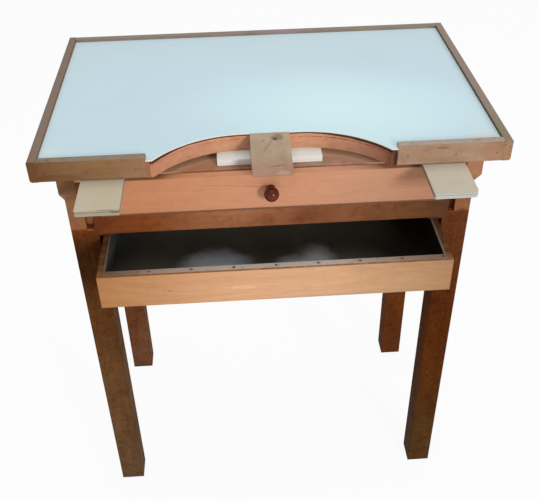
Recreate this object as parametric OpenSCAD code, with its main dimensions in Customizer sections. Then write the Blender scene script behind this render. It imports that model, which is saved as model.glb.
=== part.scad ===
// Jeweller's bench: a small square-legged table with a rimmed laminate top. The front of the top is cut
// away in a shallow arch round a wedge-shaped bench pin. Two flat armrests slide out over a shallow drawer,
// and a metal-lined filings tray slides out under it.
// X runs to the right, Y to the back, Z up. The origin is on the floor, under the middle of the whole bench
// as it stands, with the armrests and the tray drawn out.

/* [Top] */
// Width of the top over its rims
top_w = 850; // [800:5:950]
// Depth of the top, from the face of the front lips to the back
top_d = 548; // [530:1:620]
// Height of the bench to the top of its rims
bench_h = 960; // [900:5:1000]
// Thickness of the core board of the top
panel_t = 32; // [25:1:38]
// Thickness of the laminate on the core board
laminate_t = 2; // [1:0.5:3]
// How far the rims stand above the laminate
rim_stand = 6; // [4:1:10]
// Thickness of the side and back rims
rim_t = 15; // [12:1:18]
// Thickness of the two front lips
lip_t = 16; // [13:1:20]
// Radius of the lower outer edge of the side rims
rim_r = 5; // [3:1:8]
// Radius of the upper edges of the rims and lips
rim_top_r = 1.5; // [1:0.5:3]

/* [Cut-out] */
// Depth of the cut-out behind the face of the lips
cut_depth = 83; // [70:1:95]
// Radius of the two ends of the cut-out
cut_r = 200; // [180:1:215]
// Length of the straight middle of the cut-out
cut_flat = 104; // [90:1:120]
// Clear width between the two front lips
lip_gap = 442; // [440:1:470]
// Thickness of the bent band that faces the cut-out
band_t = 4; // [3:0.5:6]

/* [Legs and boards] */
// Width and depth of each square leg
leg = 52; // [46:1:58]
// Distance of the legs inside the outer faces of the side rims
side_overhang = 37.5; // [30:0.5:42.5]
// Distance of the front legs behind the face of the lips
front_overhang = 61; // [56:1:66]
// Distance of the back legs before the back of the top
back_overhang = 50; // [40:1:60]
// Thickness of the side boards, which are halved into the legs
side_board_t = 30; // [26:1:34]
// Distance of the front legs' tongues behind the front of the legs
tongue_set = 16; // [8:1:22]
// Height of the side boards and of the back board
side_board_h = 148; // [140:1:160]
// Thickness of the back board
back_board_t = 20; // [16:1:24]
// Height of the upright end of each side board, under the top
nose_h = 40; // [32:1:46]
// Distance of the side boards' noses behind the face of the lips
nose_set = 27; // [20:1:33]
// Radius of the two bends of each nose
nose_r = 12; // [8:1:20]

/* [Drawer case] */
// Height of the slot between the case and the top, in which the armrests slide
slot_h = 12; // [11.5:0.5:16]
// Thickness of the board that covers the drawer
case_top_t = 12; // [10:1:15]
// Distance of the case's front edge behind the face of the lips
case_set = 33; // [32:1:36]
// Thickness of the case sides
case_side_t = 18; // [16:0.5:20]
// Clear height of the drawer opening
opening_h = 64; // [60:1:72]
// Height of the rail under the drawer
rail_h = 53; // [48:1:58]
// Thickness of the rail under the drawer
rail_t = 18; // [15:1:22]
// Width of the ledge that each drawer side slides on
ledge_w = 21.5; // [18:0.5:26]
// Thickness of the ledge that each drawer side slides on
ledge_t = 16; // [12:1:20]

/* [Drawer] */
// Distance of the drawer's face behind the face of the lips
drawer_set = 12; // [10:1:13]
// Thickness of the drawer front
drawer_front_t = 18; // [16:1:19]
// Thickness of the drawer sides
drawer_side_t = 12; // [10:1:15]
// Thickness of the drawer back
drawer_back_t = 10; // [8:1:12]
// Thickness of the drawer bottom
drawer_bottom_t = 5; // [4:1:6]
// Clearance on each side of the drawer
drawer_gap = 1.5; // [1:0.5:3]
// Clearance above the drawer sides
drawer_head_gap = 5.7; // [4:0.1:8]
// Clearance between the drawer front and the armrests above it
front_head_gap = 1; // [0.6:0.1:1.5]
// Distance of the back end of the drawer sides before the back board
drawer_stop_gap = 0.5; // [0.3:0.1:2]
// Distance of the drawer back from the back end of the drawer sides
drawer_tail = 12; // [8:1:30]
// Thickness of wood left in front of the dovetails of the drawer
drawer_lap = 5; // [4:1:6]

/* [Knob] */
// Diameter of the round knob
knob_d = 30; // [26:1:34]
// Diameter of the knob's neck
knob_neck_d = 13; // [11:1:16]
// Diameter of the knob's foot
knob_foot_d = 19; // [17:1:22]
// Distance of the ball's middle from the drawer front
knob_reach = 22; // [20:1:26]
// Sideways place of the knob
knob_x = -3.5; // [-10:0.5:10]
// Height of the knob above the lower edge of the drawer front
knob_up = 45; // [35:1:50]

/* [Filings tray] */
// Height of the tray's boards
tray_h = 72; // [64:1:80]
// Distance of the tray's back before the back of the legs, when it is pushed in
tray_back_gap = 37; // [28:1:50]
// How far the tray stands drawn out at rest
tray_out = 127; // [100:1:140]
// Clearance on each side of the tray
tray_gap = 7; // [5:0.5:8]
// Clearance above the tray's boards
tray_head_gap = 3.5; // [3:0.5:6]
// Thickness of the tray front
tray_front_t = 16; // [14:1:20]
// Thickness of the tray sides
tray_side_t = 14; // [12:1:16]
// Thickness of the tray back
tray_back_t = 12; // [10:1:15]
// Thickness of the tray bottom
tray_bottom_t = 6; // [5:1:8]
// Thickness of wood left in front of the dovetails of the tray
tray_lap = 4; // [3:1:6]
// Thickness of the sheet metal liner
liner_t = 0.8; // [0.6:0.1:1.5]
// Width of the liner's flange on the tray front
flange_w = 11; // [9:1:13]
// Width of the liner's turned edge on the tray sides
liner_edge_w = 3; // [2:0.5:5]
// Distance between the tacks in the flange, which are spread evenly over its length
tack_pitch = 78; // [70:1:90]
// Diameter of a tack's head
tack_head_d = 6; // [5:0.5:8]
// Height of the battens above the tray
kicker_h = 23.5; // [20:0.5:28]
// Height of the battens that the tray slides on
batten_h = 25; // [20:1:30]
// Width of the battens above and under the tray
batten_w = 28; // [24:1:32]
// Length and height of the blocks that stop the tray
stop_block = 20; // [16:1:24]

/* [Armrests] */
// Width of each armrest
armrest_w = 76; // [65:1:80]
// Thickness of each armrest
armrest_t = 10.5; // [8:0.5:11]
// Distance of the middle of the left armrest inside the left side board
left_armrest_inset = 57.5; // [52:0.5:60]
// Distance of the middle of the right armrest inside the right side board
right_armrest_inset = 51.5; // [51.5:0.5:60]
// How far the armrests stand out beyond the lips at rest
armrest_out = 95; // [80:1:110]
// How far the armrests still slide out from rest
armrest_more = 60; // [40:1:80]
// Radius of the front corners of the armrests
armrest_r = 3; // [2:1:8]
// Radius of the outer front corner of the right armrest, which is worn round
worn_corner_r = 9; // [3:1:12]
// Width of the ears at the back end of the armrests
ear_w = 10; // [8:1:12]
// Length of the ears at the back end of the armrests
ear_l = 30; // [20:1:40]
// Length of the strips that guide the armrests
guide_l = 117; // [100:1:130]
// Width of the guide strip on the inner side of each armrest
guide_w = 13; // [10:1:18]
// Clearance on each side of an armrest
armrest_gap = 0.5; // [0.3:0.1:1]

/* [Bench pin] */
// Width of the bench pin
pin_w = 72; // [60:1:80]
// Sideways place of the bench pin
pin_x = -1; // [-5:1:5]
// How far the bench pin stands out beyond the lips
pin_reach = 16; // [10:1:30]
// Thickness of the bench pin at its nose
pin_nose_t = 14.5; // [10:0.5:20]
// Width of the cleat board under the pin
cleat_w = 192; // [160:1:220]
// Sideways place of the cleat board
cleat_x = -2.5; // [-10:0.5:10]
// Depth of the cleat board from front to back
cleat_d = 114; // [100:1:140]
// Distance of the cleat's front edge behind the face of the lips
cleat_set = 46.5; // [40:0.5:55]

/* [Fastenings] */
// Diameter of the nails in the lips and rims
nail_d = 2.6; // [2:0.2:3.4]
// Length of the nails in the lips and rims
nail_l = 32; // [28:1:40]
// Diameter of the screws
screw_d = 4.4; // [3.6:0.2:5]
// Diameter of the screw heads
screw_head_d = 8.4; // [7.4:0.2:9.6]
// Length of the screws through the side boards
side_screw_l = 44; // [40:1:48]
// Length of the screws through the other boards
screw_l = 40; // [38:1:44]
// Diameter of the dowels between the rail and the case sides
dowel_d = 8; // [6:1:10]
// Length of these dowels
dowel_l = 36; // [30:1:44]

/* [Running clearance] */
// Clearance under each sliding piece
slide_gap = 0.3; // [0.2:0.1:0.5]

/* [Hidden] */
$fn = 64;

// Oversize of a cutting shape where it leaves the wood
cut = 1;
// Depth of the grooves that hold the bottoms and the backs
groove = 5;
// Wood left under the grooves for the bottoms, in the lowest dovetails
groove_foot = 2;
// Run of a dovetail's slope for one unit of flare
tail_slope = 6;
// Share of its pitch that a dovetail takes at its root
tail_share = 0.5;
drawer_tails = 2;
tray_tails = 3;

// Colours of the woods and the metals
salmon_wood = [0.76, 0.56, 0.43];
rim_wood = [0.60, 0.48, 0.40];
leg_wood = [0.38, 0.22, 0.13];
case_wood = [0.55, 0.38, 0.28];
plywood = [0.78, 0.74, 0.66];
laminate_blue = [0.80, 0.89, 0.91];
sheet_metal = [0.30, 0.30, 0.32];
steel = [0.45, 0.44, 0.43];
knob_wood = [0.33, 0.16, 0.11];

// Places across the bench
carcass_w = top_w - 2 * side_overhang;
inner_x = carcass_w / 2 - leg;
side_board_x = carcass_w / 2 - side_board_t;
panel_x = top_w / 2 - rim_t;
case_x = inner_x - case_side_t;
drawer_w = 2 * (case_x - drawer_gap);
tray_w = 2 * (inner_x - tray_gap);
batten_x = inner_x - batten_w;
left_armrest_x = side_board_x - left_armrest_inset;
right_armrest_x = side_board_x - right_armrest_inset;

// Places along Y: front_y is the face of the lips, and the rest are distances behind that face
front_y = armrest_out - (top_d + armrest_out) / 2;
leg_back = top_d - back_overhang;
back_board_f = leg_back - back_board_t;
panel_back = top_d - rim_t;
cut_centre = cut_depth - cut_r;
drawer_l = back_board_f - drawer_stop_gap - drawer_set;
tray_f = front_overhang - tray_out;
tray_l = leg_back - front_overhang - tray_back_gap;
pin_l = cut_depth - band_t + pin_reach;

// Heights
laminate_z = bench_h - rim_stand - laminate_t;
pin_top_z = laminate_z + laminate_t;
under_z = laminate_z - panel_t;
rim_h = bench_h - under_z;
case_z = under_z - slot_h;
case_under_z = case_z - case_top_t;
ledge_z = case_under_z - opening_h;
rail_z = ledge_z - rail_h;
kicker_z = rail_z - kicker_h;
tray_z = kicker_z - tray_head_gap - tray_h;
runner_z = tray_z - slide_gap - batten_h;
side_z = under_z - side_board_h;
drawer_z = ledge_z + slide_gap;
drawer_side_h = opening_h - slide_gap - drawer_head_gap;
drawer_front_h = case_z - front_head_gap - drawer_z;
armrest_l = armrest_out + case_set + guide_l + armrest_more + ear_l;
armrest_z = case_z + slide_gap;

// Heights of the bottoms' grooves above the lower edges of the drawer and of the tray
function groove_height(h, count) = h / count * (1 - tail_share) / 2 + groove_foot;
drawer_groove = groove_height(drawer_side_h, drawer_tails);
tray_groove = groove_height(tray_h, tray_tails);

// Moves a child to x, to a distance behind the face of the lips, and to a height
module put(x, f, z) {
  translate([x, front_y + f, z]) children();
}

// Mirrors a child of the right-hand side to the left-hand side
module on_left() {
  mirror([1, 0, 0]) children();
}

// Extrudes a profile drawn in X and Z over a length towards the back
module run_back(l) {
  translate([0, l, 0])
    rotate([90, 0, 0])
      linear_extrude(l)
        children();
}

// Extrudes a profile drawn in Y and Z over a length to the right
module run_right(l) {
  rotate([90, 0, 90])
    linear_extrude(l)
      children();
}

// Rectangle with one radius at its lower right corner and another at both upper corners
module edge_profile(w, h, low_r, top_r) {
  difference() {
    square([w, h]);
    translate([w - low_r, -cut]) square([low_r + cut, low_r + cut]);
    translate([-cut, h - top_r]) square([top_r + cut, top_r + cut]);
    translate([w - top_r, h - top_r]) square([top_r + cut, top_r + cut]);
  }
  translate([w - low_r, low_r]) circle(low_r);
  translate([top_r, h - top_r]) circle(top_r);
  translate([w - top_r, h - top_r]) circle(top_r);
}

// Countersunk screw along +Z, with its head at the origin and its point at the length
module screw(l) {
  sink = (screw_head_d - screw_d) / 2;
  cylinder(h = sink, d1 = screw_head_d, d2 = screw_d, $fn = 32);
  cylinder(h = l, d = screw_d, $fn = 32);
}

// Nail along +Z, with its head at the origin
module nail() {
  cylinder(h = nail_l, d = nail_d, $fn = 32);
}

// Area under the arch of the cut-out, drawn in smaller by a margin
module arch(margin) {
  r = cut_r - margin;
  translate([-cut_flat / 2, cut_centre]) circle(r, $fn = 180);
  translate([cut_flat / 2, cut_centre]) circle(r, $fn = 180);
  translate([-cut_flat / 2, cut_centre]) square([cut_flat, r]);
}

// Outline of the core board and the laminate: it runs round the square ends of the lips to the arch
module top_outline(margin) {
  difference() {
    union() {
      translate([-panel_x, lip_t]) square([2 * panel_x, panel_back - lip_t]);
      translate([-lip_gap / 2, 0]) square([lip_gap, lip_t + cut]);
    }
    arch(margin);
  }
}

// Nails through the lips and the rims into the core board
nail_z = under_z + rim_h * 0.44;
lip_nail_in = 18;
lip_nail_out = 27;
rim_nail_in = 70;
back_nail_in = 95;
lip_nail_first = lip_gap / 2 + lip_nail_in;
lip_nail_run = top_w / 2 - lip_nail_out - lip_nail_first;
lip_nail_x = [for (share = [0, 0.54, 1]) lip_nail_first + share * lip_nail_run];
rim_nail_f = [for (share = [0, 0.5, 1]) rim_nail_in + share * (top_d - 2 * rim_nail_in)];
back_nail_x = [for (share = [-1, -1 / 3, 1 / 3, 1]) share * (top_w / 2 - back_nail_in)];
module rim_nail_set() {
  for (side = [-1, 1]) {
    for (x = lip_nail_x) {
      put(side * x, 0, nail_z) rotate([-90, 0, 0]) nail();
    }
    for (f = rim_nail_f) {
      put(side * top_w / 2, f, nail_z) rotate([0, -side * 90, 0]) nail();
    }
  }
  for (x = back_nail_x) {
    put(x, top_d, nail_z) rotate([90, 0, 0]) nail();
  }
}

// Screws through the side boards into the tongues of the legs
front_leg_mid = front_overhang + leg / 2;
front_tongue_mid = front_overhang + (leg + tongue_set) / 2;
back_tongue_mid = (leg_back - leg + back_board_f) / 2;
side_screw_up = [34, 92];
module side_screw_set() {
  for (side = [-1, 1], f = [front_tongue_mid, back_tongue_mid], up = side_screw_up) {
    put(side * carcass_w / 2, f, side_z + up) rotate([0, -side * 90, 0]) screw(side_screw_l);
  }
}

// Screws through the back board into the tongues of the back legs
back_screw_up = [62, 112];
module back_screw_set() {
  for (side = [-1, 1], up = back_screw_up) {
    put(side * (inner_x + side_board_x) / 2, leg_back, side_z + up) rotate([90, 0, 0]) screw(screw_l);
  }
}

// Dowels in blind holes, from the back of the rail into the front ends of the case sides
rail_dowel_in = 13;
rail_dowel_depth = rail_t * 2 / 3;
module rail_dowel_set() {
  for (side = [-1, 1], z = [rail_z + rail_dowel_in, ledge_z - rail_dowel_in]) {
    put(side * (inner_x - case_side_t / 2), case_set + rail_t - rail_dowel_depth, z)
      rotate([-90, 0, 0])
        cylinder(h = dowel_l, d = dowel_d);
  }
}

// Screws through the tray's battens into the legs
module runner_screw_set() {
  for (side = [-1, 1], f = [front_leg_mid, back_tongue_mid]) {
    put(side * batten_x, f, runner_z + batten_h / 2) rotate([0, side * 90, 0]) screw(screw_l);
    put(side * batten_x, f, kicker_z + kicker_h / 2) rotate([0, side * 90, 0]) screw(screw_l);
  }
}

// Leg on the right, with a tongue at its top beside the side board
module leg_solid(f, tongue_f, tongue_d) {
  put(inner_x, f, 0) cube([leg, leg, side_z]);
  put(inner_x, tongue_f, 0) cube([leg - side_board_t, tongue_d, case_under_z]);
}

module front_leg_wood() {
  leg_solid(front_overhang, front_overhang + tongue_set, leg - tongue_set);
}

module back_leg_wood() {
  leg_solid(leg_back - leg, leg_back - leg, leg - back_board_t);
}

module front_left_leg() {
  color(leg_wood)
    difference() {
      on_left() front_leg_wood();
      side_screw_set();
      runner_screw_set();
    }
}

module front_right_leg() {
  color(leg_wood)
    difference() {
      front_leg_wood();
      side_screw_set();
      runner_screw_set();
    }
}

module back_left_leg() {
  color(leg_wood)
    difference() {
      on_left() back_leg_wood();
      side_screw_set();
      back_screw_set();
      runner_screw_set();
    }
}

module back_right_leg() {
  color(leg_wood)
    difference() {
      back_leg_wood();
      side_screw_set();
      back_screw_set();
      runner_screw_set();
    }
}

// Side view of a side board: its nose runs forward under the top and slopes back to the leg in a gentle ogee
module side_board_profile() {
  nose_z = side_board_h - nose_h;
  bend_l = nose_r * (1 - cos(45));
  bend_h = nose_r * sin(45);
  slope_l = front_overhang - nose_set - 2 * bend_l;
  bend_z = nose_z - bend_h;
  low_z = bend_z - slope_l - bend_h;
  translate([front_overhang, 0]) square([leg_back - front_overhang, side_board_h]);
  translate([nose_set, nose_z]) square([front_overhang - nose_set, nose_h]);
  difference() {
    polygon([
      [nose_set, nose_z], [nose_set + bend_l, bend_z], [front_overhang - bend_l, bend_z - slope_l],
      [front_overhang, low_z], [front_overhang, nose_z]
    ]);
    translate([front_overhang - nose_r, low_z]) circle(nose_r);
  }
  intersection() {
    translate([nose_set + nose_r, nose_z]) circle(nose_r);
    polygon([[nose_set, nose_z], [nose_set, bend_z], [nose_set + bend_l, bend_z]]);
  }
}

module side_board_wood() {
  put(side_board_x, 0, side_z) run_right(side_board_t) side_board_profile();
}

module left_side_board() {
  color(rim_wood)
    difference() {
      on_left() side_board_wood();
      side_screw_set();
    }
}

module right_side_board() {
  color(rim_wood)
    difference() {
      side_board_wood();
      side_screw_set();
    }
}

module back_board() {
  color(rim_wood)
    difference() {
      put(-side_board_x, back_board_f, side_z) cube([2 * side_board_x, back_board_t, side_board_h]);
      back_screw_set();
    }
}

module case_top() {
  color(case_wood)
    difference() {
      put(-side_board_x, case_set, case_under_z)
        cube([2 * side_board_x, back_board_f - case_set, case_top_t]);
      pin_screw_solid();
    }
}

// Case side on the right: its lower front corner is cut back to take the rail
module case_side_wood() {
  difference() {
    put(case_x, case_set, rail_z)
      cube([case_side_t, back_board_f - case_set, case_under_z - rail_z]);
    put(case_x - cut, case_set - cut, rail_z - cut)
      cube([case_side_t + 2 * cut, rail_t + cut, rail_h + cut]);
    rail_dowel_set();
  }
}

module left_case_side() {
  color(case_wood) on_left() case_side_wood();
}

module right_case_side() {
  color(case_wood) case_side_wood();
}

module front_rail() {
  color(case_wood)
    difference() {
      put(-inner_x, case_set, rail_z) cube([2 * inner_x, rail_t, rail_h]);
      rail_dowel_set();
    }
}

module drawer_ledge_wood() {
  put(case_x - ledge_w, case_set + rail_t, ledge_z - ledge_t)
    cube([ledge_w, back_board_f - case_set - rail_t, ledge_t]);
}

module left_drawer_ledge() {
  color(case_wood) on_left() drawer_ledge_wood();
}

module right_drawer_ledge() {
  color(case_wood) drawer_ledge_wood();
}

module tray_kicker_wood() {
  difference() {
    put(batten_x, front_overhang, kicker_z) cube([batten_w, back_board_f - front_overhang, kicker_h]);
    runner_screw_set();
  }
}

module left_tray_kicker() {
  color(case_wood) on_left() tray_kicker_wood();
}

module right_tray_kicker() {
  color(case_wood) tray_kicker_wood();
}

module tray_runner_wood() {
  difference() {
    put(batten_x, front_overhang, runner_z) cube([batten_w, leg_back - front_overhang, batten_h]);
    runner_screw_set();
  }
}

module left_tray_runner() {
  color(case_wood) on_left() tray_runner_wood();
}

module right_tray_runner() {
  color(case_wood) tray_runner_wood();
}

// Blocks on the runners, just behind the tray when it is pushed in
module tray_stops() {
  color(case_wood)
    for (side = [-1, 1]) {
      put(side * (batten_x + batten_w / 2) - batten_w / 2, front_overhang + tray_l + slide_gap,
        runner_z + batten_h)
        cube([batten_w, stop_block, stop_block]);
    }
}

// Guide strips on the case top, which also carry the top: they lie beside an armrest whose middle is at x
armrest_half = armrest_w / 2 + armrest_gap;

module outer_guide_wood(x) {
  put(x + armrest_half, case_set, case_z) cube([side_board_x - x - armrest_half, guide_l, slot_h]);
}

module inner_guide_wood(x) {
  put(x - armrest_half - guide_w, case_set, case_z) cube([guide_w, guide_l, slot_h]);
}

module left_outer_guide() {
  color(case_wood) on_left() outer_guide_wood(left_armrest_x);
}

module left_inner_guide() {
  color(case_wood) on_left() inner_guide_wood(left_armrest_x);
}

module right_inner_guide() {
  color(case_wood) inner_guide_wood(right_armrest_x);
}

module right_outer_guide() {
  color(case_wood) outer_guide_wood(right_armrest_x);
}

module top_panel() {
  color(plywood)
    difference() {
      put(0, 0, under_z) linear_extrude(panel_t) top_outline(0);
      rim_nail_set();
    }
}

// Sheet on the core board and on the upper edge of the band
module laminate() {
  color(laminate_blue) put(0, 0, laminate_z) linear_extrude(laminate_t) top_outline(band_t);
}

module side_rim_wood() {
  put(panel_x, 0, under_z) run_back(top_d) edge_profile(rim_t, rim_h, rim_r, rim_top_r);
}

module left_rim() {
  color(rim_wood)
    difference() {
      on_left() side_rim_wood();
      rim_nail_set();
    }
}

module right_rim() {
  color(rim_wood)
    difference() {
      side_rim_wood();
      rim_nail_set();
    }
}

module back_rim() {
  color(rim_wood)
    difference() {
      put(-panel_x, panel_back, under_z)
        run_right(2 * panel_x) edge_profile(rim_t, rim_h, rim_top_r, rim_top_r);
      rim_nail_set();
    }
}

module lip_wood() {
  put(lip_gap / 2, lip_t, under_z)
    run_right(panel_x - lip_gap / 2)
      mirror([1, 0])
        edge_profile(lip_t, rim_h, rim_top_r, rim_top_r);
}

module left_lip() {
  color(rim_wood)
    difference() {
      on_left() lip_wood();
      rim_nail_set();
    }
}

module right_lip() {
  color(rim_wood)
    difference() {
      lip_wood();
      rim_nail_set();
    }
}

// Thin bent band on the edge of the core board, under the laminate and flush with the face of the lips
module cut_band() {
  color(salmon_wood)
    put(0, 0, under_z)
      linear_extrude(panel_t)
        intersection() {
          difference() {
            arch(0);
            arch(band_t);
          }
          translate([-cut_r - cut_flat / 2, 0]) square([2 * cut_r + cut_flat, cut_depth + cut]);
        }
}

module rim_nails() {
  color(steel) rim_nail_set();
}

// Screw down through the pin, its cleat and the case top
pin_screw_x = 9;
pin_screw_f = 62;
pin_slope = (pin_top_z - under_z - pin_nose_t) / pin_l;
module pin_screw_solid() {
  z = under_z + pin_nose_t + pin_slope * (pin_screw_f + pin_reach);
  put(pin_x + pin_screw_x, pin_screw_f, z - cut) rotate([180, 0, 0]) screw(z - case_under_z - 2 * cut);
}

module pin_screw_hole() {
  z = under_z + pin_nose_t + pin_slope * (pin_screw_f + pin_reach);
  pin_screw_solid();
  put(pin_x + pin_screw_x, pin_screw_f, z - cut) cylinder(h = 3 * cut, d = screw_head_d, $fn = 32);
}

module pin_cleat() {
  color(plywood)
    difference() {
      put(cleat_x - cleat_w / 2, cleat_set, case_z) cube([cleat_w, cleat_d, slot_h]);
      pin_screw_solid();
    }
}

// Wedge with a flat underside, which rests on the cleat and butts against the band
module bench_pin() {
  color(plywood)
    difference() {
      put(pin_x - pin_w / 2, -pin_reach, under_z)
        run_right(pin_w)
          polygon([[0, 0], [pin_l, 0], [pin_l, pin_top_z - under_z], [0, pin_nose_t]]);
      pin_screw_hole();
    }
}

module pin_screw() {
  color(steel) pin_screw_solid();
}

module side_board_screws() {
  color(steel) side_screw_set();
}

module back_board_screws() {
  color(steel) back_screw_set();
}

module rail_dowels() {
  color(case_wood) rail_dowel_set();
}

module runner_screws() {
  color(steel) runner_screw_set();
}

// Dovetails on the front end of a board of height h, drawn in Y and Z with the front's back face at zero
module tails_outline(count, h, l) {
  pitch = h / count;
  root = pitch * tail_share / 2;
  tip = root + l / tail_slope;
  for (i = [0 : count - 1]) {
    translate([0, pitch * (i + 0.5)])
      polygon([[-l, -tip], [0, -root], [0, root], [-l, tip]]);
  }
}

// Drawer or tray front, lying behind y = 0: its sides' dovetails are let in from behind
module lapped_front(w, h, side_h, t, side_t, lap, count, up, bottom_t) {
  difference() {
    translate([-w / 2, 0, 0]) cube([w, t, h]);
    for (x = [-w / 2 - cut, w / 2 - side_t]) {
      translate([x, t, 0]) run_right(side_t + cut) tails_outline(count, side_h, t - lap);
    }
    translate([-w / 2 + side_t - groove, t - groove, up])
      cube([w - 2 * side_t + 2 * groove, groove + cut, bottom_t]);
  }
}

// Right-hand side of a drawer or tray of length l, behind a front of thickness t
module dovetailed_side(w, h, l, t, side_t, lap, count, up, bottom_t, back_f, back_t) {
  difference() {
    union() {
      translate([w / 2 - side_t, t, 0]) cube([side_t, l - t, h]);
      translate([w / 2 - side_t, t, 0]) run_right(side_t) tails_outline(count, h, t - lap);
    }
    translate([w / 2 - side_t - cut, t - groove, up])
      cube([groove + cut, l - t + groove + cut, bottom_t]);
    translate([w / 2 - side_t - cut, back_f, up + bottom_t - cut])
      cube([groove + cut, back_t, h]);
  }
}

// Back of a drawer or tray, housed in the sides and standing on the bottom
module housed_back(w, h, side_t, up, bottom_t, back_f, back_t) {
  translate([-w / 2 + side_t - groove, back_f, up + bottom_t])
    cube([w - 2 * side_t + 2 * groove, back_t, h - up - bottom_t]);
}

// Bottom in the grooves, slid in from behind under the back
module grooved_bottom(w, t, side_t, up, bottom_t, back_f, back_t) {
  translate([-w / 2 + side_t - groove, t - groove, up])
    cube([w - 2 * side_t + 2 * groove, back_f + back_t - t + groove, bottom_t]);
}

// Drop of the drawer back under its sides, and wood left behind the tray's back
drawer_back_drop = 3;
tray_tail = 6;
drawer_back_f = drawer_l - drawer_tail - drawer_back_t;
drawer_back_h = drawer_side_h - drawer_back_drop;
tray_back_f = tray_l - tray_back_t - tray_tail;

module drawer_front() {
  color(salmon_wood)
    difference() {
      put(0, drawer_set, drawer_z)
        lapped_front(drawer_w, drawer_front_h, drawer_side_h, drawer_front_t, drawer_side_t, drawer_lap,
          drawer_tails, drawer_groove, drawer_bottom_t);
      knob_screw_solid();
    }
}

module drawer_side_wood() {
  put(0, drawer_set, drawer_z)
    dovetailed_side(drawer_w, drawer_side_h, drawer_l, drawer_front_t, drawer_side_t, drawer_lap,
      drawer_tails, drawer_groove, drawer_bottom_t, drawer_back_f, drawer_back_t);
}

module left_drawer_side() {
  color(case_wood) on_left() drawer_side_wood();
}

module right_drawer_side() {
  color(case_wood) drawer_side_wood();
}

module drawer_back() {
  color(case_wood)
    put(0, drawer_set, drawer_z)
      housed_back(drawer_w, drawer_back_h, drawer_side_t, drawer_groove, drawer_bottom_t, drawer_back_f,
        drawer_back_t);
}

module drawer_bottom() {
  color(plywood)
    put(0, drawer_set, drawer_z)
      grooved_bottom(drawer_w, drawer_front_t, drawer_side_t, drawer_groove, drawer_bottom_t,
        drawer_back_f, drawer_back_t);
}

// Screw from inside the drawer into the knob
module knob_screw_solid() {
  put(knob_x, drawer_set + drawer_front_t, drawer_z + knob_up)
    rotate([90, 0, 0])
      screw(drawer_front_t + knob_reach - knob_d / 6);
}

// Turned knob: a foot, a waisted neck and a ball
module drawer_knob() {
  foot_h = 3;
  ball_r = knob_d / 2;
  neck_r = knob_neck_d / 2;
  color(knob_wood)
    difference() {
      put(knob_x, drawer_set, drawer_z + knob_up)
        rotate([90, 0, 0])
          union() {
            cylinder(h = foot_h, d = knob_foot_d);
            cylinder(h = knob_reach, r = neck_r);
            translate([0, 0, foot_h]) cylinder(h = foot_h, d1 = knob_foot_d, d2 = knob_neck_d);
            translate([0, 0, knob_reach]) sphere(ball_r);
          }
      knob_screw_solid();
    }
}

module knob_screw() {
  color(steel) knob_screw_solid();
}

// Tacks through the liner's flange into the tray front, the outermost ones near the flange's ends
liner_w = tray_w - 2 * tray_side_t;
flange_l = liner_w + 2 * liner_edge_w;
tack_f = tray_front_t - flange_w / 2;
tack_l = 9;
tack_d = 1.8;
tack_head_h = 1.2;
tack_end = 5.5;
tack_run = flange_l - 2 * tack_end;
tack_spaces = round(tack_run / tack_pitch);
tack_x = [for (i = [0 : tack_spaces]) tack_run * (i / tack_spaces - 0.5)];
module tack_shanks() {
  for (x = tack_x) {
    put(x, tray_f + tack_f, tray_z + tray_h - tack_l)
      cylinder(h = tack_l + liner_t, d = tack_d, $fn = 24);
  }
}

module tray_tacks() {
  color(steel)
    union() {
      tack_shanks();
      for (x = tack_x) {
        put(x, tray_f + tack_f, tray_z + tray_h + liner_t)
          cylinder(h = tack_head_h, d1 = tack_head_d, d2 = tack_head_d / 2, $fn = 24);
      }
    }
}

module tray_front() {
  color(salmon_wood)
    difference() {
      put(0, tray_f, tray_z)
        lapped_front(tray_w, tray_h, tray_h, tray_front_t, tray_side_t, tray_lap, tray_tails,
          tray_groove, tray_bottom_t);
      tack_shanks();
    }
}

module tray_side_wood() {
  put(0, tray_f, tray_z)
    dovetailed_side(tray_w, tray_h, tray_l, tray_front_t, tray_side_t, tray_lap, tray_tails,
      tray_groove, tray_bottom_t, tray_back_f, tray_back_t);
}

module left_tray_side() {
  color(case_wood) on_left() tray_side_wood();
}

module right_tray_side() {
  color(case_wood) tray_side_wood();
}

module tray_back() {
  color(case_wood)
    put(0, tray_f, tray_z)
      housed_back(tray_w, tray_h, tray_side_t, tray_groove, tray_bottom_t, tray_back_f, tray_back_t);
}

module tray_bottom() {
  color(plywood)
    put(0, tray_f, tray_z)
      grooved_bottom(tray_w, tray_front_t, tray_side_t, tray_groove, tray_bottom_t, tray_back_f,
        tray_back_t);
}

// Folded sheet metal liner: a box open at the top, a flange on the tray front and turned side edges
module tray_liner() {
  liner_l = tray_back_f - tray_front_t;
  floor_z = tray_groove + tray_bottom_t;
  color(sheet_metal)
    difference() {
      put(0, tray_f, tray_z)
        union() {
          translate([-liner_w / 2, tray_front_t, floor_z])
            cube([liner_w, liner_l, tray_h + liner_t - floor_z]);
          translate([-flange_l / 2, tray_front_t - flange_w, tray_h])
            cube([flange_l, flange_w + liner_l, liner_t]);
        }
      put(-liner_w / 2 + liner_t, tray_f + tray_front_t + liner_t, tray_z + floor_z + liner_t)
        cube([liner_w - 2 * liner_t, liner_l - 2 * liner_t, tray_h]);
      tack_shanks();
    }
}

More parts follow.
